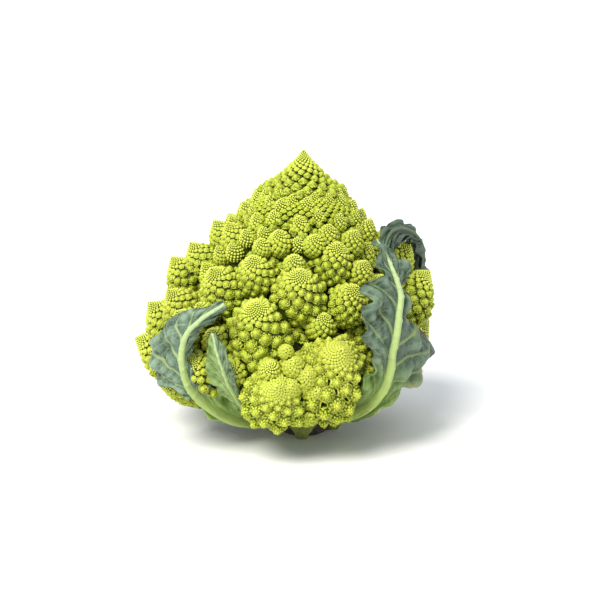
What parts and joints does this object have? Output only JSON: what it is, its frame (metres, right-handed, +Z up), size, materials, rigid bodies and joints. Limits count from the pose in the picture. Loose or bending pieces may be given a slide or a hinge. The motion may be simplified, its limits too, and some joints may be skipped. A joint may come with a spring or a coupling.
{
  "type": "romanesco head",
  "caption": "Romanesco head as picked: a pointed curd of spiralling cone-shaped florets on a cut stalk, with a few blue-green leaves round it.",
  "frame": {"origin": "middle of the stalk's flat cut face, which lies on the ground", "axes": "+Z up through the head; -Y is the side with the small folded leaf, +X the side with the tall leaf"},
  "size_m": [0.1683, 0.1659, 0.161],
  "materials": {
    "curd": "matt, beaded with fine buds",
    "stalk": "matt, browned where it is cut",
    "leaf": "waxy satin with pale ribs and veins"
  },
  "bodies": {
    "root": {"curd": "curd", "stalk": "stalk", "leaf_left": "leaf", "leaf_right": "leaf", "leaf_small": "leaf", "leaf_back": "leaf"}
  },
  "joints": []
}
